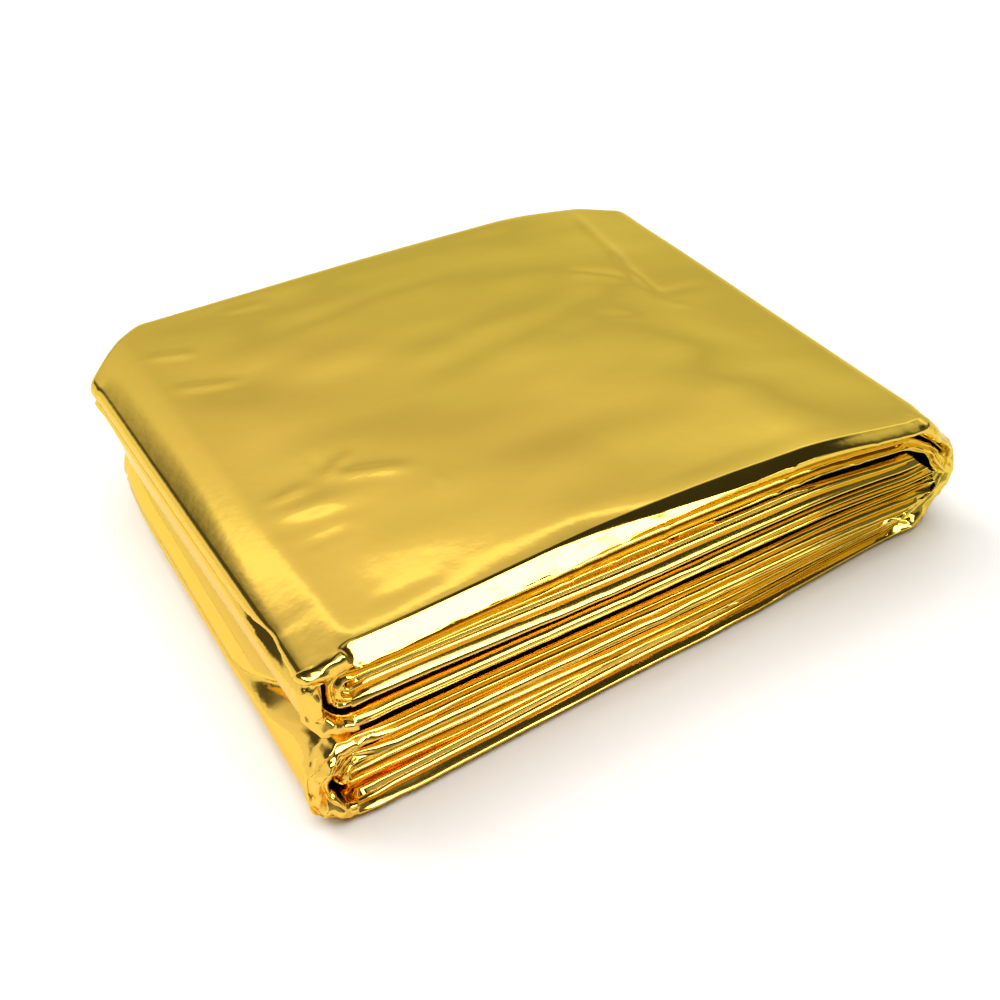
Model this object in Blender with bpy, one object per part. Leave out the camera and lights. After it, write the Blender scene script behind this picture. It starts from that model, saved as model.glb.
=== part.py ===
"""Emergency foil blanket, folded into a packet that lies on a table.

One sheet of metallised film. It is first pleated lengthwise into a strip of four layers, with two folds along the
front and one along the back. Both ends of the strip are then turned in to meet near the middle, and the whole is
closed like a book, with its spine at the right. The packet so has two turns at the left, one above the other.
Each layer stands for a bundle of the much thinner film. X runs along the packet, Y towards its back, Z up.
"""

import math

import bmesh
import bpy

MM = 0.001

# Sizes of the packet
LENGTH = 125 * MM
DEPTH = 102 * MM

# The sheet and the space between its layers
LAYER = 1.2 * MM
GAP = 0.64 * MM
PITCH = LAYER + GAP
LAYERS = 4
STRIP_HALF = (LAYERS - 1) / 2 * PITCH + LAYER / 2

# Heights of the strip's middle in its four runs, from the one on the table up
RUN_RISE = LAYERS * PITCH
BOTTOM_RUN = STRIP_HALF
LOWER_INNER_RUN = BOTTOM_RUN + RUN_RISE
UPPER_INNER_RUN = LOWER_INNER_RUN + RUN_RISE
TOP_RUN = UPPER_INNER_RUN + RUN_RISE
HEIGHT = TOP_RUN + STRIP_HALF
MIDDLE = HEIGHT / 2

# The turns, as half heights of the strip's middle. A left one reaches out as a share of its height
LEFT_TURN = RUN_RISE / 2
LEFT_REACH = 0.95
UPPER_SQUARENESS = 0.65
LOWER_TURN_INSET = 0.4 * MM
SPINE_TURN = (TOP_RUN - BOTTOM_RUN) / 2
SPINE_REACH = 8 * MM
SPINE_POINT = 0.25
SHORT_END = 13 * MM
LONG_END = 8.5 * MM

# Folds along the front and back
FRONT_FOLD = 1.6 * MM
BACK_FOLD = DEPTH - 1.6 * MM
OUTER_ARC_STEPS = 6
INNER_ARC_STEPS = 3
FLAT_POINTS = (0.05, 0.2, 0.5, 0.8, 0.95)
EDGE_REACH = 20 * MM

# The segments of the folded strip, in order, with the rows of the table below that each spans, and its steps
SEGMENTS = (
    ("upper_inner", 2, 6),
    ("upper_left_turn", 1, 14),
    ("top", 2, 9),
    ("spine", 1, 12),
    ("bottom", 2, 6),
    ("lower_left_turn", 1, 8),
    ("lower_inner", 2, 6),
)

# How far the folds stand out of line, in millimetres towards the back, at the ends and the middle of each run
PUSH_COLUMNS = ("front_outer", "front_inner", "back_fold", "back_edges")
PUSHES = (
    (0.5, 1.2, -0.5, -2.4),
    (0.4, 1.1, -1.2, -3.0),
    (0.6, 1.8, -0.8, -1.2),
    (0.2, 2.4, -0.4, -0.3),
    (-0.5, 2.4, -1.0, 0.6),
    (0.5, 1.9, -0.6, -0.2),
    (3.0, 2.4, -0.9, -1.6),
    (0.5, 1.3, -0.4, -0.9),
    (-1.5, 1.4, -1.1, -1.7),
    (0.6, 0.4, -0.6, -2.6),
    (0.7, 0.6, -1.3, -3.2),
    (0.8, 0.9, -0.7, -2.8),
)

# How far each corner of the packet is drawn in, and the length that this takes
CORNERS = {
    "front_left": (1.2 * MM, 4 * MM),
    "back_left": (9 * MM, 13 * MM),
    "front_right": (1.5 * MM, 6 * MM),
    "back_right": (9 * MM, 16 * MM),
}
CORNER_BEND = 1.4

# The mouth between the upper and lower halves at the left, widest at the front, lies lower towards the back
MOUTH_OPEN = 0.4 * MM
MOUTH_LENGTH = 32 * MM
MOUTH_DEPTH = 55 * MM
MOUTH_SAG = 0.8 * MM
MOUTH_SAG_LENGTH = 45 * MM

# The groove along the upper left turn, deepest near the front, and the shoulder that is drawn in above it
GROOVE_HEIGHT = 0.78 * HEIGHT
GROOVE_WIDTH = 2.3 * MM
GROOVE_SHALLOW = 0.7 * MM
GROOVE_DEEP = 2.3 * MM
GROOVE_DEEP_AT = 9 * MM
GROOVE_DEEP_SPREAD = 12 * MM
GROOVE_FADE = 14 * MM
SHOULDER_INSET = 1.2 * MM
SHOULDER_STEP = 0.1 * HEIGHT

# The top slopes down from a ridge near the left end, most at the front
RIDGE = 9.5 * MM
SHOULDER_FRONT_SLOPE = 0.42
SHOULDER_BACK_SLOPE = 0.14
RIDGE_ROUNDING = 1.5 * MM

# The top bulges a little, and its right end is pressed down
CROWN = 0.7 * MM
PRESSED = 0.12
PRESSED_FROM = 0.7 * LENGTH

# The spine is drawn in, most at the front of the top, and the left end is splayed: its upper half towards the back,
# its lower half at the front too
SPINE_PULL = 5.6 * MM
SPINE_NOSE_PULL = 0.8 * MM
SPINE_PULL_DEPTH = 14 * MM
SPINE_PULL_FROM = 0.55 * LENGTH
SPINE_BACK_SHARE = 0.15
SPLAY_LOWER = 1.6 * MM
SPLAY_UPPER = 2.2 * MM
SPLAY_FRONT = 3.2 * MM
SPLAY_LENGTH = 50 * MM


def smooth(value):
    """A soft step from 0 at 0 to 1 at 1."""
    value = min(1.0, max(0.0, value))
    return value * value * (3 - 2 * value)


def arc(centre, radius, start, end, steps):
    """Points of an arc in the strip's section, as (depth, offset)."""
    points = []
    for step in range(steps + 1):
        angle = math.radians(start + (end - start) * step / steps)
        points.append((centre[0] + radius * math.cos(angle), centre[1] + radius * math.sin(angle)))
    return points


def flat(start, end, offset):
    """The points between the folds along one side of a layer."""
    return [(start + (end - start) * share, offset) for share in FLAT_POINTS]


def strip_section():
    """The pleated strip's closed outline, as (depth, offset): two folds at the front, one at the back."""
    half = LAYER / 2
    outer = PITCH / 2 + half
    inner = PITCH / 2 - half
    first, second, third, fourth = (PITCH * place for place in (1.5, 0.5, -0.5, -1.5))
    upper_front = (FRONT_FOLD, PITCH)
    lower_front = (FRONT_FOLD, -PITCH)
    back = (BACK_FOLD, 0.0)
    outline = [(BACK_FOLD, first + half)]
    outline += flat(BACK_FOLD, FRONT_FOLD, first + half)
    outline += arc(upper_front, outer, 90, 270, OUTER_ARC_STEPS)
    outline += flat(FRONT_FOLD, BACK_FOLD, second - half)
    outline += arc(back, inner, 90, -90, INNER_ARC_STEPS)
    outline += flat(BACK_FOLD, FRONT_FOLD, third + half)
    outline += arc(lower_front, outer, 90, 270, OUTER_ARC_STEPS)
    outline += flat(FRONT_FOLD, BACK_FOLD, fourth - half)
    outline += [(BACK_FOLD, fourth - half), (BACK_FOLD, fourth + half)]
    outline += flat(BACK_FOLD, FRONT_FOLD, fourth + half)
    outline += arc(lower_front, inner, 270, 90, INNER_ARC_STEPS)
    outline += flat(FRONT_FOLD, BACK_FOLD, third - half)
    outline += arc(back, outer, -90, 90, OUTER_ARC_STEPS)
    outline += flat(BACK_FOLD, FRONT_FOLD, second + half)
    outline += arc(upper_front, inner, 270, 90, INNER_ARC_STEPS)
    outline += flat(FRONT_FOLD, BACK_FOLD, first - half)
    outline += [(BACK_FOLD, first - half)]
    return outline


def left_turn(offset, inset):
    """Where a left turn begins, and how far it reaches, for a layer at this offset."""
    reach = LEFT_REACH * (LEFT_TURN + offset)
    return STRIP_HALF - offset + inset + reach, reach


def spine_start(offset):
    """Where the spine begins for a layer at this offset."""
    return LENGTH - STRIP_HALF + offset - SPINE_REACH


def inner_end(offset):
    """Where the strip's ends stop inside the spine: the layers near the packet's middle are the longest."""
    share = (offset + STRIP_HALF) / (2 * STRIP_HALF)
    return LENGTH - SHORT_END + (SHORT_END - LONG_END) * share


def between(start, end, share):
    return start + (end - start) * share


def fold(segment, share, offset):
    """Length and height of a point of the strip, at a share of a segment, offset to the strip's outer side."""
    if segment == "upper_inner":
        begin, _ = left_turn(offset, 0)
        return between(inner_end(offset), begin, share), UPPER_INNER_RUN - offset
    if segment == "top":
        begin, _ = left_turn(offset, 0)
        return between(begin, spine_start(offset), share), TOP_RUN + offset
    if segment == "bottom":
        begin, _ = left_turn(offset, LOWER_TURN_INSET)
        return between(spine_start(offset), begin, share), BOTTOM_RUN - offset
    if segment == "lower_inner":
        begin, _ = left_turn(offset, LOWER_TURN_INSET)
        return between(begin, inner_end(offset), share), LOWER_INNER_RUN + offset
    angle = math.pi * (share - 0.5)
    if segment == "spine":
        round_reach = math.cos(angle)
        pointed_reach = 1 - abs(math.sin(angle))
        out = between(round_reach, pointed_reach, SPINE_POINT)
        return spine_start(offset) + SPINE_REACH * out, MIDDLE - (SPINE_TURN + offset) * math.sin(angle)
    upper = segment == "upper_left_turn"
    begin, reach = left_turn(offset, 0 if upper else LOWER_TURN_INSET)
    centre = (UPPER_INNER_RUN + TOP_RUN) / 2 if upper else (BOTTOM_RUN + LOWER_INNER_RUN) / 2
    squareness = UPPER_SQUARENESS if upper and angle > 0 else 1.0
    rise = math.copysign(abs(math.sin(angle)) ** squareness, angle)
    return begin - reach * abs(math.cos(angle)) ** squareness, centre + (LEFT_TURN + offset) * rise


def push(place, column):
    """How far a fold stands out of line at a place along the strip, counted in rows of the table."""
    row = min(int(place), len(PUSHES) - 2)
    index = PUSH_COLUMNS.index(column)
    return MM * between(PUSHES[row][index], PUSHES[row + 1][index], smooth(place - row))


def corner_inset(name, distance):
    """How far a corner is drawn in, at a distance from that end of the packet."""
    inset, length = CORNERS[name]
    share = min(1.0, max(0.0, 1 - distance / length))
    return inset * share**CORNER_BEND


def uneven_depth(length, depth, offset, place):
    """The depth of a point, with the folds out of line and the packet's corners rounded."""
    near_front = smooth(1 - depth / EDGE_REACH)
    near_back = smooth(1 - (DEPTH - depth) / EDGE_REACH)
    front_fold = "front_outer" if offset > 0 else "front_inner"
    back_fold = "back_fold" if abs(offset) < PITCH else "back_edges"
    front = push(place, front_fold)
    front += corner_inset("front_left", length) + corner_inset("front_right", LENGTH - length)
    back = push(place, back_fold)
    back -= corner_inset("back_left", length) + corner_inset("back_right", LENGTH - length)
    return depth + front * near_front + back * near_back


def uneven_height(length, depth, height):
    """The height of a point, with the mouth open, the top bulging, its right end pressed and its left end sloped."""
    opening = MOUTH_OPEN * smooth(1 - length / MOUTH_LENGTH) * smooth(1 - depth / MOUTH_DEPTH)
    sag = MOUTH_SAG * smooth(1 - length / MOUTH_SAG_LENGTH) * depth / DEPTH
    if height > MIDDLE:
        height = HEIGHT - (HEIGHT - height) * (1 - (opening - sag) / (HEIGHT - MIDDLE))
    else:
        height *= 1 - (opening + sag) / MIDDLE
    crown = CROWN * math.sin(math.pi * length / LENGTH) * math.sin(math.pi * depth / DEPTH)
    height += max(0.0, crown) * height / HEIGHT
    height *= 1 - PRESSED * smooth((length - PRESSED_FROM) / (LENGTH - PRESSED_FROM))
    slope = between(SHOULDER_FRONT_SLOPE, SHOULDER_BACK_SLOPE, smooth(depth / DEPTH))
    past_ridge = max(0.0, RIDGE - length)
    drop = slope * (math.hypot(past_ridge, RIDGE_ROUNDING) - RIDGE_ROUNDING)
    return height - drop * smooth((height - 0.5 * HEIGHT) / (0.33 * HEIGHT))


def uneven_length(length, depth, height):
    """The length of a point, with the upper left turn grooved and both ends of the packet out of square."""
    near = math.exp(-(((depth - GROOVE_DEEP_AT) / GROOVE_DEEP_SPREAD) ** 2))
    across = math.exp(-(((height - GROOVE_HEIGHT) / GROOVE_WIDTH) ** 2))
    groove = between(GROOVE_SHALLOW, GROOVE_DEEP, near) * across * smooth(1 - length / GROOVE_FADE)
    above = smooth((height - GROOVE_HEIGHT) / SHOULDER_STEP)
    inset = SHOULDER_INSET * above * smooth(1 - length / RIDGE)
    splay = between(SPLAY_LOWER, SPLAY_UPPER, height / HEIGHT) * depth / DEPTH
    splay += SPLAY_FRONT * (1 - depth / DEPTH) * smooth(1.1 - 1.5 * height / HEIGHT)
    splay *= smooth(1 - length / SPLAY_LENGTH)
    high = smooth((height - 0.55 * HEIGHT) / (0.35 * HEIGHT))
    spine = between(SPINE_NOSE_PULL, SPINE_PULL, max(smooth(depth / SPINE_PULL_DEPTH), high))
    spine *= between(1.0, SPINE_BACK_SHARE, depth / DEPTH)
    spine *= smooth((length - SPINE_PULL_FROM) / (LENGTH - SPINE_PULL_FROM))
    return length + groove + inset - splay - spine


def stations():
    """Every step along the strip: its segment, its share of it, and its place in rows of the table."""
    found = [(SEGMENTS[0][0], 0.0, 0.0)]
    row = 0
    for name, rows, steps in SEGMENTS:
        for step in range(1, steps + 1):
            found.append((name, step / steps, row + rows * step / steps))
        row += rows
    return found


def folded(station, depth, offset):
    """A point of the strip where it lies in the packet."""
    segment, share, place = station
    length, height = fold(segment, share, offset)
    new_depth = uneven_depth(length, depth, offset, place)
    new_length = uneven_length(length, depth, height)
    return new_length, new_depth, uneven_height(length, depth, height)


def make_strip():
    """The strip's section, drawn out straight with one step for each station: X counts the stations."""
    mesh = bmesh.new()
    outline = [mesh.verts.new((0, depth, offset)) for depth, offset in strip_section()]
    first = mesh.faces.new(outline)
    end = first
    for _ in range(len(stations()) - 1):
        made = bmesh.ops.extrude_face_region(mesh, geom=[end])["geom"]
        if end.is_valid and end != first:
            mesh.faces.remove(end)
        end = next(item for item in made if isinstance(item, bmesh.types.BMFace))
        bmesh.ops.translate(mesh, vec=(1, 0, 0), verts=end.verts[:])
    return mesh


def fold_strip(mesh):
    """Moves each point of the straight strip to its place in the packet, centred over the origin."""
    steps = stations()
    for vertex in mesh.verts:
        station, depth, offset = vertex.co
        vertex.co = folded(steps[round(station)], depth, offset)
    low = [min(v.co[axis] for v in mesh.verts) for axis in range(3)]
    high = [max(v.co[axis] for v in mesh.verts) for axis in range(3)]
    centre = (-(low[0] + high[0]) / 2, -(low[1] + high[1]) / 2, -low[2])
    bmesh.ops.translate(mesh, vec=centre, verts=mesh.verts)


def gold_film():
    """Metallised film with a gold lacquer."""
    material = bpy.data.materials.new("gold_film")
    material.use_nodes = True
    surface = material.node_tree.nodes["Principled BSDF"]
    surface.inputs["Base Color"].default_value = (0.80, 0.52, 0.10, 1)
    surface.inputs["Metallic"].default_value = 1.0
    surface.inputs["Roughness"].default_value = 0.22
    return material


def make_blanket():
    strip = make_strip()
    fold_strip(strip)
    bmesh.ops.recalc_face_normals(strip, faces=strip.faces)
    mesh = bpy.data.meshes.new("foil_sheet")
    strip.to_mesh(mesh)
    strip.free()
    mesh.materials.append(gold_film())
    mesh.shade_smooth()
    mesh.set_sharp_from_angle(angle=math.radians(40))
    blanket = bpy.data.objects.new("foil_sheet", mesh)
    bpy.context.scene.collection.objects.link(blanket)


for leftover in list(bpy.data.objects):
    bpy.data.objects.remove(leftover)
make_blanket()
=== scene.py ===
import math

import bmesh
import bpy
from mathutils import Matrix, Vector, noise


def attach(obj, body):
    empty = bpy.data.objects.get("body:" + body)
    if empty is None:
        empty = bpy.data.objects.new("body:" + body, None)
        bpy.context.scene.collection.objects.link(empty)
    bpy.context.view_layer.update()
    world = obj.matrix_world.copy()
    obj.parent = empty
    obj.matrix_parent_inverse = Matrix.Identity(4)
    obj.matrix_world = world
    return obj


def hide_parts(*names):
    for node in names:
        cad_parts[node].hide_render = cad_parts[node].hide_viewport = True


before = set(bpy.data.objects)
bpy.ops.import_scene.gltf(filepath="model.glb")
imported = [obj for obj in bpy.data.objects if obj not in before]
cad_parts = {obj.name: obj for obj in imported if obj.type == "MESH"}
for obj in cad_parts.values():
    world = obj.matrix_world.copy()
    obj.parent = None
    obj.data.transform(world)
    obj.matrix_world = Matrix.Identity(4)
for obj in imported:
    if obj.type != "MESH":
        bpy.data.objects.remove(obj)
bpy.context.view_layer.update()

# The camera stands at the packet's near left, above it, as in the photograph.
# It looks a little left of the packet's middle, and is turned slightly.
TARGET = Vector((-0.0120, -0.0159, 0.0147))
VIEW_AZIMUTH = math.radians(-29.83)
VIEW_HEIGHT = math.radians(37.86)
VIEW_ROLL = math.radians(-1.97)
VIEW_DISTANCE = 0.2025
FOCAL_PIXELS = 1211
FRAME_PIXELS = 1000

back = Vector((
    math.sin(VIEW_AZIMUTH) * math.cos(VIEW_HEIGHT),
    -math.cos(VIEW_AZIMUTH) * math.cos(VIEW_HEIGHT),
    math.sin(VIEW_HEIGHT),
))
camera_data = bpy.data.cameras.new("camera")
camera_data.sensor_width = 36
camera_data.lens = 36 * FOCAL_PIXELS / FRAME_PIXELS
camera_data.clip_start = 0.01
camera = bpy.data.objects.new("camera", camera_data)
bpy.context.scene.collection.objects.link(camera)
camera.location = TARGET + back * VIEW_DISTANCE
camera.rotation_euler = back.to_track_quat("Z", "Y").to_euler()
camera.rotation_euler.rotate_axis("Z", VIEW_ROLL)
bpy.context.scene.camera = camera

# The blanket is one rectangle of thin metallised polyester film, with a gold lacquer on both sides. It is
# pleated lengthwise into a strip, both ends are turned in, and the strip is closed like a book. Here one
# film goes round the packet's outside and follows every fold, so each layer is a bundle of the real ones.
MM = 0.001

LENGTH = 125 * MM
DEPTH = 102 * MM
LAYER = 1.2 * MM
PITCH = LAYER + 0.64 * MM
STRIP_HALF = 1.5 * PITCH + LAYER / 2
RUN_RISE = 4 * PITCH
BOTTOM_RUN = STRIP_HALF
LOWER_INNER_RUN = BOTTOM_RUN + RUN_RISE
UPPER_INNER_RUN = LOWER_INNER_RUN + RUN_RISE
TOP_RUN = UPPER_INNER_RUN + RUN_RISE
HEIGHT = TOP_RUN + STRIP_HALF
MIDDLE = HEIGHT / 2
LEFT_TURN = RUN_RISE / 2
SPINE_TURN = (TOP_RUN - BOTTOM_RUN) / 2
SPINE_REACH = 8 * MM
EDGE_ROUNDING = 1.0 * MM
FRONT_FOLD = 1.6 * MM
BACK_FOLD = DEPTH - 1.6 * MM

# Steps along the strip, by the part of the packet that each stretch lies in, with its rows of the push
# table
STRETCHES = (
    ("upper_inner", 2, 36),
    ("upper_left_turn", 1, 60),
    ("top", 2, 130),
    ("spine", 1, 36),
    ("bottom", 2, 40),
    ("lower_left_turn", 1, 54),
    ("lower_inner", 2, 36),
)

# Steps across the film: four layers, and the folds between them, with short steps along the first one's
# front edge. At the back, both free edges are turned under.
TURNED_UNDER = 8 * MM
ACROSS = (
    ("upper_hem", 7),
    ("layer_1", 98),
    ("front_edge", 9),
    ("upper_crest", 32),
    ("layer_2", 16),
    ("back_fold", 8),
    ("layer_3", 16),
    ("lower_crest", 32),
    ("layer_4", 18),
    ("lower_hem", 7),
)

# How far the folds stand out of line, in millimetres towards the back, at the ends and the middle of each
# run
PUSH_COLUMNS = ("front_outer", "front_inner", "back_fold", "back_edges")
PUSHES = (
    (0.5, 0.7, -0.5, -2.4),
    (0.4, 0.9, -1.2, -3.0),
    (0.6, 1.8, -0.8, -1.2),
    (1.5, 2.6, -0.4, -0.3),
    (3.4, 2.9, -1.0, 0.6),
    (1.2, 1.9, -0.6, -0.2),
    (3.0, 2.4, -0.9, -1.6),
    (0.5, 1.1, -0.4, -0.9),
    (-1.4, 1.6, -1.1, -1.7),
    (0.3, 0.5, -0.6, -2.6),
    (0.2, 0.7, -1.3, -3.2),
    (0.6, 0.9, -0.7, -2.8),
)
CORNERS = {
    "front_left": (1.2 * MM, 4 * MM),
    "back_left": (11.5 * MM, 13 * MM),
    "front_right": (1.5 * MM, 6 * MM),
    "back_right": (9 * MM, 16 * MM),
}

# The lips of each front fold, from the packet's top to its bottom: where a lip starts and ends on the fold,
# how flat it is, and how far it stands out at the left, middle and right, in millimetres
GROOVE = 2.3
NOSE = 0.66
LIPS = (
    ((0.0, 0.86, 4.0, 0.5, 0.6, 0.3), (0.86, 1.0, 2.0, -0.4, -0.5, -0.3)),
    ((0.0, 0.42, 2.0, -0.1, -0.3, 0.2), (0.42, 0.72, 1.5, 0.4, 0.2, 0.0), (0.72, 1.0, 2.0, -0.2, -0.4, 0.3)),
    ((0.0, 0.40, 2.5, -0.4, -0.5, 0.1), (0.40, 1.0, 2.0, 0.6, 0.5, 0.2)),
    ((0.0, 0.46, 1.7, 0.5, 0.3, 0.1), (0.46, 0.75, 2.5, -0.5, -0.4, 0.3), (0.75, 1.0, 1.5, 0.1, 0.0, -0.3)),
    ((0.0, 0.36, 1.6, 0.4, 0.6, 0.1), (0.36, 0.7, 1.8, 0.0, 0.2, 0.4), (0.7, 1.0, 2.2, -0.5, -0.4, 0.0)),
    ((0.0, 0.55, 1.8, 0.5, 0.4, 0.2), (0.55, 1.0, 2.5, -0.5, -0.3, 0.2)),
    ((0.0, 0.38, 2.0, 0.1, 0.3, 0.2), (0.38, 0.66, 1.5, 0.5, 0.1, -0.3), (0.66, 1.0, 2.5, -0.6, -0.4, 0.3)),
    ((0.0, 0.34, 2.5, -0.5, -0.4, 0.0), (0.34, 0.72, 1.6, 0.2, 0.4, 0.3), (0.72, 1.0, 1.6, 0.3, 0.2, -0.2)),
)

# The front folds of each stretch of the strip, as rows of the lips, with the way that its folds run
FOLD_ROWS = {
    "upper_inner": (3, 2, -1), "upper_left_turn": (0, 1, 1), "top": (0, 1, 1), "spine": (0, 1, 1),
    "bottom": (7, 6, -1), "lower_left_turn": (7, 6, -1), "lower_inner": (4, 5, 1),
}

# The grooves round the left side: height at the front and the back as a share of the packet's, depth at the
# back, and depth, place and spread of the wide part near the front, in millimetres
SIDE_GROOVES = (
    (0.93, 0.91, 0.9, 4.4, 12.0, 9.0),
    (0.54, 0.24, 1.2, 4.4, 15.0, 8.0),
)

# The soft creases of the top, in millimetres from the packet's middle: ends, half width, and height (down
# if negative)
CREASES = (
    (-52, -15, -46, -14.2, 0.9, 0.35),
    (-42, -13.5, -37, -10.5, 0.9, 0.40),
    (-41, -14.5, -31, -18.5, 1.2, 0.45),
    (-52.5, -18, -43.5, -19.5, 1.5, 0.24),
    (-51.5, -26.7, -44.5, -26.7, 1.0, -0.30),
    (-53, -22, -41, -23.5, 1.6, -0.30),
    (-42.5, -12.5, -42.0, -7.5, 0.8, -0.22),
    (-52.5, 23.5, -43.5, 20.3, 1.0, 0.32),
    (-53.5, 36, -47, 33.5, 0.9, 0.28),
    (-36.5, 44.5, -28.5, 44.0, 0.9, 0.25),
    (-16.5, 4.0, 5, 6.0, 2.6, -0.40),
    (4.5, 6.0, 24, 11.5, 2.4, -0.40),
    (-14, 9.5, 6, 12.0, 3.0, 0.35),
    (43.6, 47, 37.4, 17.5, 1.1, 0.45),
    (37.4, 18, 36.8, 7.0, 1.0, 0.35),
    (36.8, 7, 47, 7.7, 1.2, 0.30),
    (25.5, 20.5, 34.2, 14.8, 1.6, 0.35),
    (20.9, 4.1, 27, 0, 1.4, -0.30),
    (36, 3, 39, 0.9, 1.0, -0.30),
    (-48, -42.5, -39, -42.0, 1.2, -0.30),
    (-27.6, -22.4, -28.2, -25.7, 0.35, 0.12),
    (-30, 30, 8, 34, 4.0, 0.30),
    (0, -12, 30, -20, 4.5, -0.30),
    (-22, -32, 10, -30, 4.0, 0.25),
)


def smooth(value):
    """A soft step from 0 at 0 to 1 at 1."""
    value = min(1.0, max(0.0, value))
    return value * value * (3 - 2 * value)


def between(start, end, share):
    return start + (end - start) * share


# The left turns are a little flattened, and the lower one stands further in. The layers turned in at the
# left stop short of the spine, the inner sides of their bundles soonest. The spine is slightly pointed.
TURN_FLATNESS = 0.95
LOWER_TURN_INSET = 0.4 * MM
INNER_SIDE_GAP = 13 * MM
OUTER_SIDE_GAP = 8.5 * MM
SPINE_POINTEDNESS = 0.25
MOST_BEND = 0.8


def squarer_turn(reach, rise, share):
    """Distance in from a turn's side and height over its middle: up a wall, round a bend, along a top."""
    bend = min(EDGE_ROUNDING, MOST_BEND * reach, MOST_BEND * rise)
    wall, arc, roof = rise - bend, bend * math.pi / 2, reach - bend
    travel = (wall + arc + roof) * share
    if travel < wall:
        return 0.0, travel
    if travel < wall + arc:
        turned = (travel - wall) / bend
        return bend - bend * math.cos(turned), wall + bend * math.sin(turned)
    return bend + travel - wall - arc, rise


def fold(stretch, share, offset):
    """Length and height of a point at a share of a stretch, offset to the strip's outer side."""
    lower = stretch in ("bottom", "lower_left_turn", "lower_inner")
    reach = TURN_FLATNESS * (LEFT_TURN + offset)
    left = STRIP_HALF - offset + reach + (LOWER_TURN_INSET if lower else 0)
    right = LENGTH - STRIP_HALF + offset - SPINE_REACH
    outwards = (offset + STRIP_HALF) / (2 * STRIP_HALF)
    inner_end = LENGTH - between(INNER_SIDE_GAP, OUTER_SIDE_GAP, outwards)
    if stretch == "upper_inner":
        return between(inner_end, left, share), UPPER_INNER_RUN - offset
    if stretch == "top":
        return between(left, right, share), TOP_RUN + offset
    if stretch == "bottom":
        return between(right, left, share), BOTTOM_RUN - offset
    if stretch == "lower_inner":
        return between(left, inner_end, share), LOWER_INNER_RUN + offset
    angle = math.pi * (share - 0.5)
    if stretch == "spine":
        out = between(math.cos(angle), 1 - abs(math.sin(angle)), SPINE_POINTEDNESS)
        return right + SPINE_REACH * out, MIDDLE - (SPINE_TURN + offset) * math.sin(angle)
    centre = (BOTTOM_RUN + LOWER_INNER_RUN) / 2 if lower else (UPPER_INNER_RUN + TOP_RUN) / 2
    rise = LEFT_TURN + offset
    if lower or angle <= 0:
        return left - reach * math.cos(angle), centre + rise * math.sin(angle)
    inwards, upwards = squarer_turn(reach, rise, angle / (math.pi / 2))
    return left - reach + inwards, centre + upwards


def push(place, column):
    """How far a fold stands out of line at a place along the strip, counted in rows of the table."""
    row = min(int(place), len(PUSHES) - 2)
    index = PUSH_COLUMNS.index(column)
    return MM * between(PUSHES[row][index], PUSHES[row + 1][index], smooth(place - row))


def corner_inset(name, distance):
    inset, length = CORNERS[name]
    return inset * min(1.0, max(0.0, 1 - distance / length)) ** 1.2


# Each groove of the left side is widest near the front, and ends where the side runs into the layers
GROOVE_LENGTH = 16 * MM
GROOVE_SETTLED = 30 * MM
GROOVE_HALF_WIDTH = 0.9 * MM
WIDE_GROOVE_HALF_WIDTH = 2.3 * MM

# Towards the back, the left side's layers are tucked in under the top ones
UPPER_TUCK = 3.0 * MM
LOWER_TUCK = 1.0 * MM
TUCK_LENGTH = 20 * MM
TUCK_FROM = 70 * MM
TUCK_RUN = 25 * MM
TUCK_TOP = 0.88
TUCK_FADE = 0.2


def side_hollows(length, depth, height):
    """How far the left side stands in: its two grooves, and its layers tucked in towards the back."""
    inwards = 0.0
    for front_level, back_level, shallow, deep, widest, spread in SIDE_GROOVES:
        near = math.exp(-(((depth - widest * MM) / (spread * MM)) ** 2))
        level = between(front_level, back_level, min(1.0, depth / GROOVE_SETTLED))
        half_width = between(GROOVE_HALF_WIDTH, WIDE_GROOVE_HALF_WIDTH, near)
        across = max(0.0, 1 - abs(height - level * HEIGHT) / half_width)
        inwards += between(shallow, deep, near) * MM * across * smooth(1 - length / GROOVE_LENGTH)
    tuck = UPPER_TUCK if height > MIDDLE else LOWER_TUCK
    tuck *= smooth((depth - TUCK_FROM) / TUCK_RUN) * smooth((TUCK_TOP - height / HEIGHT) / TUCK_FADE)
    return inwards + tuck * smooth(1 - length / TUCK_LENGTH)


# The left end splays out: at the back over its whole height, and at the front in its lower half only
SPLAY_LENGTH = 50 * MM
SPLAY_BACK_BOTTOM = 1.6 * MM
SPLAY_BACK_TOP = 2.2 * MM
SPLAY_FRONT_BOTTOM = 2.5 * MM

# The spine is drawn in most at the front, but hardly at the near bottom corner
SPINE_PULL = 5.6 * MM
SPINE_CORNER_PULL = 0.8 * MM
SPINE_CORNER_DEPTH = 14 * MM
SPINE_PULL_FROM = 0.55 * LENGTH
SPINE_PULL_LOST_AT_BACK = 0.85


def splay(length, depth, height):
    """How far the left end stands out."""
    at_back = between(SPLAY_BACK_BOTTOM, SPLAY_BACK_TOP, height / HEIGHT) * depth / DEPTH
    at_front = SPLAY_FRONT_BOTTOM * (1 - depth / DEPTH) * smooth(1.1 - 1.5 * height / HEIGHT)
    return (at_back + at_front) * smooth(1 - length / SPLAY_LENGTH)


def spine_pull(length, depth, height):
    """How far the right end is drawn in."""
    off_corner = max(smooth(depth / SPINE_CORNER_DEPTH), smooth((height - 0.55 * HEIGHT) / (0.35 * HEIGHT)))
    pull = between(SPINE_CORNER_PULL, SPINE_PULL, off_corner) * (1 - SPINE_PULL_LOST_AT_BACK * depth / DEPTH)
    return pull * smooth((length - SPINE_PULL_FROM) / (LENGTH - SPINE_PULL_FROM))


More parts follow.
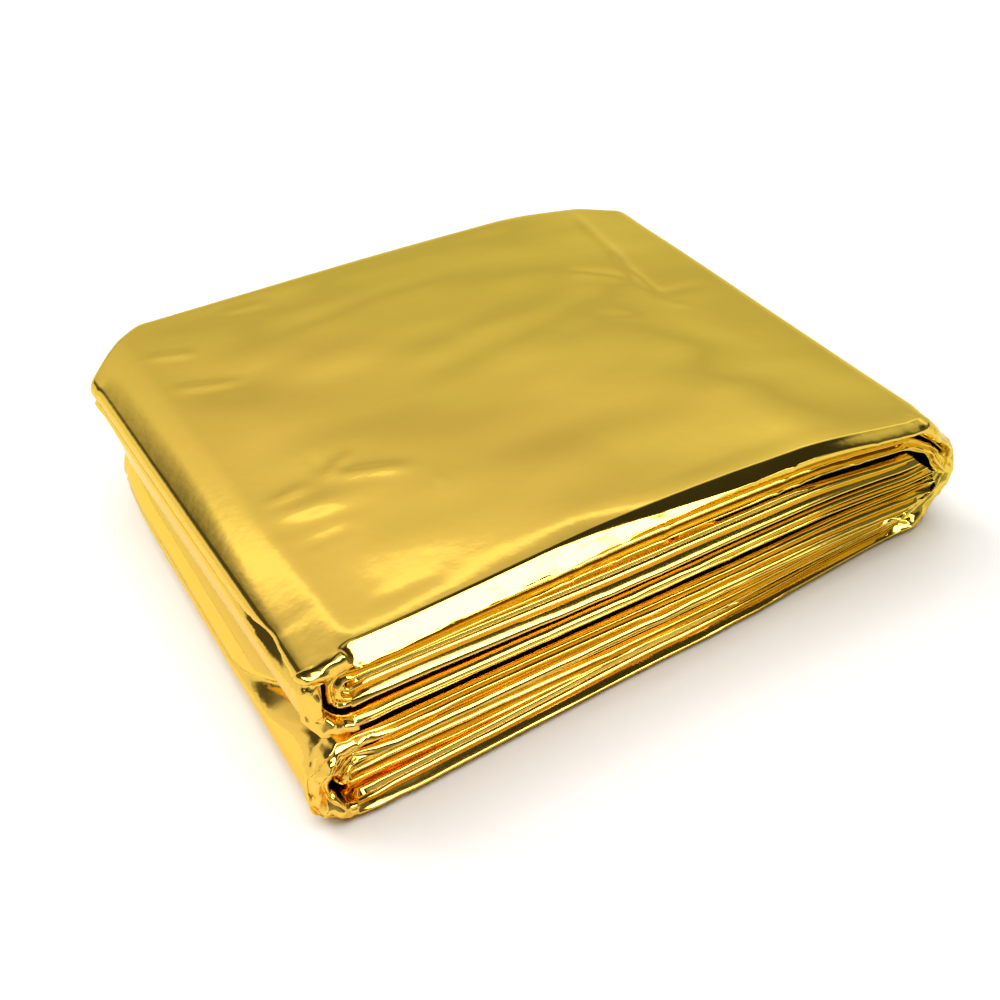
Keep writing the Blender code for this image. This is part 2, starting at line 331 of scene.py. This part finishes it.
# The top slopes down to the left past a ridge: first a flat band, wider at the front, and then a steeper
# shoulder. The slopes are given at the front and at the back, as rise over run.
RIDGE = 8.5 * MM
RIDGE_ROUNDING = 0.6 * MM
BAND_FRONT_WIDTH = 5.5 * MM
BAND_BACK_WIDTH = 2.5 * MM
BAND_TAPER = 60 * MM
BAND_SLOPES = (0.26, 0.24)
SHOULDER_EXTRA_SLOPES = (0.24, 0.16)
SHOULDER_ROUNDING = 1.5 * MM


def shoulder_drop(length, depth, height):
    """How far the band and the shoulder at the left lie below the level top."""
    past_ridge = max(0.0, RIDGE - length)
    band = between(BAND_FRONT_WIDTH, BAND_BACK_WIDTH, smooth(depth / BAND_TAPER))
    past_band = max(0.0, past_ridge - band)
    drop = between(*BAND_SLOPES, depth / DEPTH) * (math.hypot(past_ridge, RIDGE_ROUNDING) - RIDGE_ROUNDING)
    extra = math.hypot(past_band, SHOULDER_ROUNDING) - SHOULDER_ROUNDING
    drop += between(*SHOULDER_EXTRA_SLOPES, depth / DEPTH) * extra
    return drop * smooth((height - 0.5 * HEIGHT) / (0.33 * HEIGHT))


# The folds stand out of line over the first and last part of the depth. The gap between the bundles opens a
# little at the near left, the left end sags to the back, the top is crowned, and the right end is pressed
# flatter.
FOLD_REACH = 20 * MM
OPENING = 0.1 * MM
OPENING_LENGTH = 32 * MM
OPENING_DEPTH = 55 * MM
SAG = 0.5 * MM
SAG_LENGTH = 45 * MM
CROWN = 0.7 * MM
PRESSED = 0.12
PRESSED_FROM = 0.7 * LENGTH


def uneven(length, depth, height, upper_fold, edge_layer, place):
    """A folded point, with the folds out of line, the corners rounded and the ends drawn out of true."""
    near_front = smooth(1 - depth / FOLD_REACH)
    near_back = smooth(1 - (DEPTH - depth) / FOLD_REACH)
    front = push(place, "front_outer" if upper_fold else "front_inner")
    front += corner_inset("front_left", length) + corner_inset("front_right", LENGTH - length)
    back_push = push(place, "back_edges" if edge_layer else "back_fold")
    back_push -= corner_inset("back_left", length) + corner_inset("back_right", LENGTH - length)
    new_depth = depth + front * near_front + back_push * near_back
    new_length = length + side_hollows(length, depth, height)
    new_length -= splay(length, depth, height) + spine_pull(length, depth, height)

    opening = OPENING * smooth(1 - length / OPENING_LENGTH) * smooth(1 - depth / OPENING_DEPTH)
    sag = SAG * smooth(1 - length / SAG_LENGTH) * depth / DEPTH
    if height > MIDDLE:
        height = HEIGHT - (HEIGHT - height) * (1 - (opening - sag) / (HEIGHT - MIDDLE))
    else:
        height *= 1 - (opening + sag) / MIDDLE
    crown = CROWN * math.sin(math.pi * length / LENGTH) * math.sin(math.pi * depth / DEPTH)
    height += max(0.0, crown) * height / HEIGHT
    height *= 1 - PRESSED * smooth((length - PRESSED_FROM) / (LENGTH - PRESSED_FROM))
    height -= shoulder_drop(length, depth, height)
    return Vector((new_length, new_depth, height))


def facets(point, cell, seed):
    """The flat-sided bumps of crumpled film: one value from 0 to about 1."""
    place = Vector(point) / cell + Vector((seed, 2.3 * seed, -1.7 * seed))
    return noise.voronoi(place, distance_metric="CHEBYCHEV")[0][0]


def along_strip():
    """Every step along the strip: its stretch, its share of it, and its place in rows of the push table."""
    steps = [(STRETCHES[0][0], 0.0, 0.0)]
    row = 0
    for name, rows, count in STRETCHES:
        steps += [(name, n / count, row + rows * n / count) for n in range(1, count + 1)]
        row += rows
    return steps


def across_film():
    """Every step across the film: its layer or fold, and its share of it."""
    steps = [(ACROSS[0][0], 0.0)]
    for name, count in ACROSS:
        steps += [(name, n / count) for n in range(1, count + 1)]
    return steps


def hem_section(share):
    """Depth and offset of a step across a free edge: flat under the layer, then round its back."""
    straight = 0.5
    if share < straight:
        return BACK_FOLD - TURNED_UNDER * (1 - share / straight), STRIP_HALF - LAYER
    angle = math.pi * (share - straight) / (1 - straight)
    return BACK_FOLD + LAYER / 2 * math.sin(angle), STRIP_HALF - LAYER / 2 * (1 + math.cos(angle))


def film_section(part, share):
    """Depth and offset of a step across the film. The folds swell, and layers 2 and 3 lie slack."""
    outer = STRIP_HALF
    inner = PITCH / 2 - LAYER / 2
    swell = PITCH / 2 + LAYER / 2
    if part == "upper_hem":
        return hem_section(share)
    if part == "lower_hem":
        depth, offset = hem_section(1 - share)
        return depth, -offset
    if part == "layer_1":
        return between(BACK_FOLD, FRONT_FOLD + 2 * MM, share), outer
    if part == "front_edge":
        return FRONT_FOLD + 2 * MM * (1 - share), outer
    if part == "layer_4":
        return between(FRONT_FOLD, BACK_FOLD, share**1.5), -outer
    if part == "layer_2":
        share = share**1.5
        return between(FRONT_FOLD, BACK_FOLD, share), between(inner, swell, smooth(share))
    if part == "layer_3":
        share = 1 - (1 - share) ** 1.5
        return between(BACK_FOLD, FRONT_FOLD, share), between(-swell, -inner, smooth(share))
    angle = math.pi * share
    if part == "back_fold":
        return BACK_FOLD + swell * math.sin(angle), swell * math.cos(angle)
    middle = PITCH if part == "upper_crest" else -PITCH
    return FRONT_FOLD - swell * math.sin(angle), middle + swell * math.cos(angle)


def lip_out(crest, share, x):
    """How far the film stands out at a front fold, in millimetres: lips with sharp grooves between them."""
    along_packet = min(1.0, max(0.0, x / LENGTH))
    drift = 0.10 * noise.noise(Vector((x / (38 * MM), crest * 4.7, 0.3)))
    for top, bottom, sharpness, left, middle, right in LIPS[crest]:
        top += drift * (top > 0)
        bottom += drift * (bottom < 1)
        if not top <= share <= bottom:
            continue
        if along_packet < 0.5:
            out = between(left, middle, smooth(2 * along_packet))
        else:
            out = between(middle, right, smooth(2 * along_packet - 1))
        out += 0.16 * noise.noise(Vector((x / (19 * MM), crest * 3.1, top * 9)))
        out += 0.5 * max(0.0, noise.noise(Vector((x / (2.4 * MM), crest * 5.3, top * 7))) - 0.25)
        down = (share - top) / (bottom - top)
        nose = down / NOSE
        if nose > 1:
            nose = 1 - (nose - 1) * NOSE / (1 - NOSE)
            sharpness = 3.0
        if (top == 0 and down < NOSE) or (bottom == 1 and down > NOSE):
            nose = 1.0
        return (out + GROOVE) * (1 - (1 - nose) ** (0.65 + 0.35 * sharpness)) - GROOVE
    return 0.0


# The top's front edge lies this far back, and a facet falls away in front of it: gently up to a bend, then
# steeply. The bend lies further from the edge at the right. The edge itself is rounded down a little.
EDGE_AT_LEFT = 2.3 * MM
EDGE_AT_RIGHT = 1.8 * MM
BEND_AT_LEFT = 0.25 * MM
BEND_AT_RIGHT = 2.6 * MM
GENTLE_SLOPE = math.tan(math.radians(24))
STEEP_SLOPE = math.tan(math.radians(42))
FACET_ROUGHNESS = 0.35 * MM
EDGE_DROP = 0.13 * MM
EDGE_DROP_FROM = 2.5 * MM


def edge_height(stretch, share, place):
    """Height of the film's upper side along the packet's front edge."""
    length, height = fold(stretch, share, STRIP_HALF)
    return uneven(length, EDGE_AT_LEFT, height, True, True, place).z


# Each crease is drawn a little wider than in the table and runs on past its ends. The slack between the
# creases is uneven at three sizes, each with its length, its depth and its share of the height.
CREASE_WIDENED = 1.2
CREASE_RUN_ON = 0.3
CREASE_HEIGHT = 0.65
SLACK = ((0.030, 0.022, 0.4, 0.8), (0.013, 0.010, 3.4, 0.24), (0.045, 0.006, 7.1, 0.06))


def top_creases(point):
    """Height of the placed creases and of the film's slack over the top."""
    x = point.x - LENGTH / 2
    y = point.y - DEPTH / 2
    height = 0.0
    for x1, y1, x2, y2, width, rise in CREASES:
        run_x, run_y = x2 - x1, y2 - y1
        length = math.hypot(run_x, run_y)
        from_x, from_y = x / MM - x1, y / MM - y1
        share = (from_x * run_x + from_y * run_y) / (length * length)
        if not -CREASE_RUN_ON < share < 1 + CREASE_RUN_ON:
            continue
        off = abs(from_x * run_y - from_y * run_x) / length
        width *= CREASE_WIDENED
        if off > 3 * width:
            continue
        ends = smooth((share + CREASE_RUN_ON) / (2 * CREASE_RUN_ON))
        ends *= smooth((1 + CREASE_RUN_ON - share) / (2 * CREASE_RUN_ON))
        height += (rise if rise > 0 else 0.5 * rise) * ends * math.exp(-((off / width) ** 2))
    slack = 0.0
    for slack_length, slack_depth, seed, amount in SLACK:
        slack += noise.noise(Vector((x / slack_length, y / slack_depth, seed))) * amount
    slack *= smooth((point.x - 5 * MM) / (14 * MM))
    return (CREASE_HEIGHT * height + slack) * MM


along = along_strip()
across = across_film()
film = bmesh.new()
bmesh.ops.create_grid(film, x_segments=len(along) - 1, y_segments=len(across) - 1, size=0.5)
for vertex in film.verts:
    stretch, share, place = along[round((vertex.co.x + 0.5) * (len(along) - 1))]
    part, step = across[round((vertex.co.y + 0.5) * (len(across) - 1))]
    depth, offset = film_section(part, step)
    length, height = fold(stretch, share, offset)
    upper_fold = part in ("upper_hem", "layer_1", "front_edge", "upper_crest", "layer_2")
    edge_layer = part in ("upper_hem", "layer_1", "front_edge", "layer_4", "lower_hem")
    point = uneven(length, depth, height, upper_fold, edge_layer, place)
    if part in ("upper_crest", "lower_crest"):
        upper_row, lower_row, way = FOLD_ROWS[stretch]
        row = upper_row if part == "upper_crest" else lower_row
        out = lip_out(row, step if way > 0 else 1 - step, point.x) * math.sin(math.pi * step) ** 0.4
        straight = 1.0 if stretch in ("upper_inner", "top", "bottom", "lower_inner") else 0.35
        point.y -= out * straight * MM
    if stretch in ("top", "spine") and part in ("front_edge", "layer_1", "upper_crest"):
        edge = between(EDGE_AT_LEFT, EDGE_AT_RIGHT, smooth((point.x / LENGTH - 0.5) / 0.25))
        past_edge = edge + push(place, "front_outer") - point.y
        bend = between(BEND_AT_LEFT, BEND_AT_RIGHT, smooth((point.x / LENGTH - 0.30) / 0.30))
        lowered = edge_height(stretch, share, place) - EDGE_DROP
        lowered -= min(past_edge, bend) * GENTLE_SLOPE + max(0.0, past_edge - bend) * STEEP_SLOPE
        rough = (facets(point, 5 * MM, 2.9) - 0.4) * smooth((past_edge - bend) / (1.0 * MM))
        lowered -= FACET_ROUGHNESS * rough
        if past_edge <= 0 and part != "upper_crest":
            point.z -= EDGE_DROP * max(0.0, 1 + past_edge / EDGE_DROP_FROM) ** 2
        faded = smooth(1.6 - 4 * share) if stretch == "spine" else smooth((point.x - 2.5 * MM) / (4.5 * MM))
        if past_edge > 0:
            point.z = between(point.z, min(point.z, lowered), faded)
    if part in ("layer_1", "front_edge") and stretch in ("top", "upper_left_turn", "spine"):
        upward = smooth((point.z - 0.8 * HEIGHT) / (0.2 * HEIGHT))
        flat = smooth(depth / (8 * MM)) * smooth((DEPTH - depth) / (8 * MM))
        point.z += top_creases(point) * upward * flat
    # The near left corner and the right end are crumpled, the right end in bigger facets
    near_left = smooth(1 - point.x / (12 * MM)) * smooth(1 - point.y / (9 * MM))
    right_end = smooth((point.x - LENGTH + 20 * MM) / (14 * MM)) * smooth(1 - point.y / (10 * MM))
    on_top = part in ("layer_1", "front_edge") and stretch in ("top", "upper_left_turn")
    if on_top:
        near_left *= 0.1
        right_end *= smooth(2 - point.y / (4 * MM))
    strength = max(near_left, right_end)
    if strength > 0:
        point.x += right_end * (facets(point, 7 * MM, 5.5) - 0.5) * 2.6 * MM
        point.y += right_end * (facets(point, 7 * MM, 9.2) - 0.5) * 3.2 * MM
        point.x += strength * (facets(point, 5 * MM, 1.1) + 0.4 * facets(point, 2.2 * MM, 6.1) - 0.6) * 1.6 * MM
        point.y += strength * (facets(point, 4 * MM, 4.7) + 0.4 * facets(point, 2 * MM, 3.3) - 0.6) * 2.2 * MM
        point.z += strength * (facets(point, 4.5 * MM, 8.3) - 0.45) * 1.2 * MM * smooth(point.z / (3 * MM))
    vertex.co = point

bmesh.ops.translate(film, vec=(-LENGTH / 2 + 1.6 * MM, -DEPTH / 2 + 0.95 * MM, 0), verts=film.verts)
bmesh.ops.recalc_face_normals(film, faces=film.faces)
film_mesh = bpy.data.meshes.new("gold_film_sheet")
film.to_mesh(film_mesh)
film.free()
film_mesh.shade_smooth()
blanket = bpy.data.objects.new("gold_film_sheet", film_mesh)
bpy.context.scene.collection.objects.link(blanket)


def colour(code):
    """A linear colour from an sRGB hex value."""
    parts = [int(code[n:n + 2], 16) / 255 for n in (0, 2, 4)]
    return [p / 12.92 if p <= 0.04045 else ((p + 0.055) / 1.055) ** 2.4 for p in parts] + [1.0]


def add(tree, kind, settings=None, inputs=None):
    """Adds a node to a material, with its settings, and its inputs as values or as links."""
    node = tree.nodes.new(kind)
    for name, value in (settings or {}).items():
        setattr(node, name, value)
    for name, value in (inputs or {}).items():
        if isinstance(value, bpy.types.NodeSocket):
            tree.links.new(value, node.inputs[name])
        else:
            node.inputs[name].default_value = value
    return node


# Metallised polyester film with a transparent gold lacquer: aluminium vacuum-deposited on a thin film. It
# mirrors its surroundings in gold, slightly blurred by a fine ripple, and deepens to orange between layers.
gold = bpy.data.materials.new("gold_lacquered_metallised_polyester_film")
gold.use_nodes = True
tree = gold.node_tree
surface = tree.nodes["Principled BSDF"]
surface.inputs["Metallic"].default_value = 1.0
surface.inputs["Specular Tint"].default_value = colour("f7efc4")
on_film = add(tree, "ShaderNodeTexCoord").outputs["Object"]
cloud = add(tree, "ShaderNodeTexNoise", None, {
    "Vector": on_film, "Scale": 28.0, "Detail": 3.0, "Roughness": 0.5})
parts = add(tree, "ShaderNodeSeparateXYZ", None, {"Vector": on_film})
across_top = add(tree, "ShaderNodeMath", {"operation": "ADD"}, {0: parts.outputs["X"], 1: parts.outputs["Y"]})
towards_far = add(tree, "ShaderNodeMapRange", None, {
    "Value": across_top.outputs[0], "From Min": -0.10, "From Max": 0.09, "To Min": -0.25, "To Max": 0.75})
cast = add(tree, "ShaderNodeMath", {"operation": "ADD", "use_clamp": True}, {
    0: towards_far.outputs["Result"], 1: cloud.outputs["Fac"]})
tint = add(tree, "ShaderNodeMix", {"data_type": "RGBA"}, {"Factor": cast.outputs[0]})
tint.inputs[6].default_value = colour("f0c056")
tint.inputs[7].default_value = colour("e3c44e")
tree.links.new(tint.outputs[2], surface.inputs["Base Color"])
haze = add(tree, "ShaderNodeTexNoise", None, {
    "Vector": on_film, "Scale": 60.0, "Detail": 2.0, "Roughness": 0.5})
rough = add(tree, "ShaderNodeMapRange", None, {"Value": haze.outputs["Fac"], "To Min": 0.07, "To Max": 0.14})
tree.links.new(rough.outputs["Result"], surface.inputs["Roughness"])
ripple = add(tree, "ShaderNodeTexNoise", None, {
    "Vector": on_film, "Scale": 420.0, "Detail": 2.0, "Roughness": 0.5})
dent = add(tree, "ShaderNodeBump", None, {
    "Height": ripple.outputs["Fac"], "Strength": 0.05, "Distance": 0.0004})
tree.links.new(dent.outputs["Normal"], surface.inputs["Normal"])
film_mesh.materials.append(gold)

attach(blanket, "root")
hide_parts("foil_sheet")

# The packet lies on a plain white surface: one large sheet of matt card, a hair under the packet so that
# the two don't touch.
floor_mesh = bpy.data.meshes.new("floor")
floor_shape = bmesh.new()
bmesh.ops.create_grid(floor_shape, x_segments=1, y_segments=1, size=4)
bmesh.ops.translate(floor_shape, vec=(0, 0, -0.0002), verts=floor_shape.verts)
floor_shape.to_mesh(floor_mesh)
floor_shape.free()
floor = bpy.data.objects.new("floor", floor_mesh)
bpy.context.scene.collection.objects.link(floor)
white = bpy.data.materials.new("matt_white_card")
white.use_nodes = True
white.node_tree.nodes["Principled BSDF"].inputs["Base Color"].default_value = colour("f4f2ee")
white.node_tree.nodes["Principled BSDF"].inputs["Roughness"].default_value = 0.9
floor_mesh.materials.append(white)

# Soft studio light: a wide panel overhead, and a room that the film mirrors. The room has pale walls, a dark
# ceiling with a bright strip in it, a dim glow straight overhead, and a greyer wall behind the camera.
world = bpy.data.worlds.new("studio")
bpy.context.scene.world = world
world.use_nodes = True
room = world.node_tree
direction = add(room, "ShaderNodeTexCoord").outputs["Generated"]
axes = add(room, "ShaderNodeSeparateXYZ", None, {"Vector": direction})
away = add(room, "ShaderNodeVectorMath", {"operation": "DOT_PRODUCT"}, {0: direction})
away.inputs[1].default_value = (0.497, 0.867, 0)
sideways = add(room, "ShaderNodeVectorMath", {"operation": "DOT_PRODUCT"}, {0: direction})
sideways.inputs[1].default_value = (0.867, -0.497, 0)
overhead = add(room, "ShaderNodeMath", {"operation": "ARCTAN2"}, {
    0: axes.outputs["Z"], 1: away.outputs["Value"]})
over = add(room, "ShaderNodeMapRange", None, {
    "Value": overhead.outputs[0], "From Min": 0.0, "From Max": math.pi})
strips = add(room, "ShaderNodeValToRGB", None, {"Fac": over.outputs["Result"]})
LEVELS = (
    (0.0, 0.95), (0.08, 0.80), (0.14, 0.66), (0.20, 0.82), (0.257, 1.0), (0.268, 1.55), (0.282, 1.6),
    (0.296, 0.82), (0.335, 0.66), (0.365, 0.04), (0.565, 0.04),
    (0.605, 10.0), (0.675, 10.0), (0.70, 0.03), (0.78, 0.03),
    (0.84, 0.36), (0.93, 0.36), (0.98, 0.6), (1.0, 0.9),
)
for number, (position, value) in enumerate(LEVELS):
    if number in (0, len(LEVELS) - 1):
        stop = strips.color_ramp.elements[0 if number == 0 else -1]
        stop.position = position
    else:
        stop = strips.color_ramp.elements.new(position)
    stop.color = (value, value, value, 1)
SIDE_WALLS = (
    ("left", -0.60, -0.72, ((0.0, 1.1), (0.32, 1.0), (0.43, 0.08))),
    ("right", 0.70, 0.84, ((0.0, 1.1), (0.10, 0.9), (0.17, 0.16))),
)
seen = strips.outputs["Color"]
for name, start, full, tones in SIDE_WALLS:
    beside = add(room, "ShaderNodeMapRange", {"interpolation_type": "SMOOTHSTEP"}, {
        "Value": sideways.outputs["Value"], "From Min": start, "From Max": full})
    wall = add(room, "ShaderNodeValToRGB", None, {"Fac": axes.outputs["Z"]})
    for number, (position, value) in enumerate(tones):
        stop = wall.color_ramp.elements[number] if number < 2 else wall.color_ramp.elements.new(position)
        stop.position = position
        stop.color = (value, value, value, 1)
    level = add(room, "ShaderNodeMix", {"data_type": "RGBA"}, {"Factor": beside.outputs["Result"]})
    room.links.new(seen, level.inputs[6])
    room.links.new(wall.outputs["Color"], level.inputs[7])
    seen = level.outputs[2]
zenith = add(room, "ShaderNodeMapRange", {"interpolation_type": "SMOOTHSTEP"}, {
    "Value": axes.outputs["Z"], "From Min": 0.93, "From Max": 0.985, "To Max": 0.6})
overall = add(room, "ShaderNodeMix", {"data_type": "RGBA", "blend_type": "LIGHTEN"}, {"Factor": 1.0})
room.links.new(seen, overall.inputs[6])
room.links.new(zenith.outputs["Result"], overall.inputs[7])
room.links.new(overall.outputs[2], room.nodes["Background"].inputs["Color"])

world.cycles_visibility.diffuse = False
PANELS = (
    ("overhead_panel", (-0.1, 0.0, 1.3), 1.5, 25),
    ("back_panel", (-0.5, 0.9, 1.2), 0.8, 9),
)
for name, position, size, power in PANELS:
    panel_data = bpy.data.lights.new(name, "AREA")
    panel_data.size = size
    panel_data.energy = power
    panel = bpy.data.objects.new(name, panel_data)
    panel.location = position
    panel.rotation_euler = (-panel.location).to_track_quat("-Z", "Y").to_euler()
    panel.visible_glossy = False
    bpy.context.scene.collection.objects.link(panel)
bpy.context.scene.view_settings.view_transform = "Standard"
